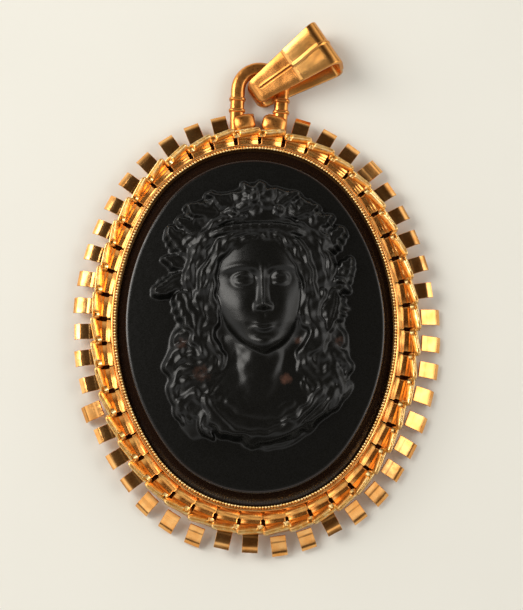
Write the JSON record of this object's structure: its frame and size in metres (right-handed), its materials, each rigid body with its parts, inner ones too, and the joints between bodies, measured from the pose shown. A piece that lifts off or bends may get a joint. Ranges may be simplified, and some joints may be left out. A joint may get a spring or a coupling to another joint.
{
  "type": "cameo pendant",
  "caption": "Oval black glass cameo in a gold bezel with a border of slotted tabs, a fixed loop and a tapered folded bail that swings on it.",
  "frame": {"origin": "middle of the oval on the surface that the back rests on", "axes": "+Z out of the face, +Y from the middle of the oval to the hanging loop, +X to the right as seen from the front"},
  "size_m": [0.0372, 0.0548, 0.0077],
  "materials": {
    "black_glass": "pressed black glass, soft gloss",
    "setting_gold": "polished yellow gold",
    "bail_gold": "polished yellow gold"
  },
  "bodies": {
    "pendant": {"cameo": "black_glass", "setting": "setting_gold"},
    "bail": {"bail": "bail_gold"}
  },
  "joints": [
    {"name": "bail_swing", "type": "hinge", "parent": "pendant", "child": "bail", "pos_m": [0.00111, 0.02527, 0.0012], "axis": [0, 0, 1], "range_deg": [-40, 148]}
  ]
}
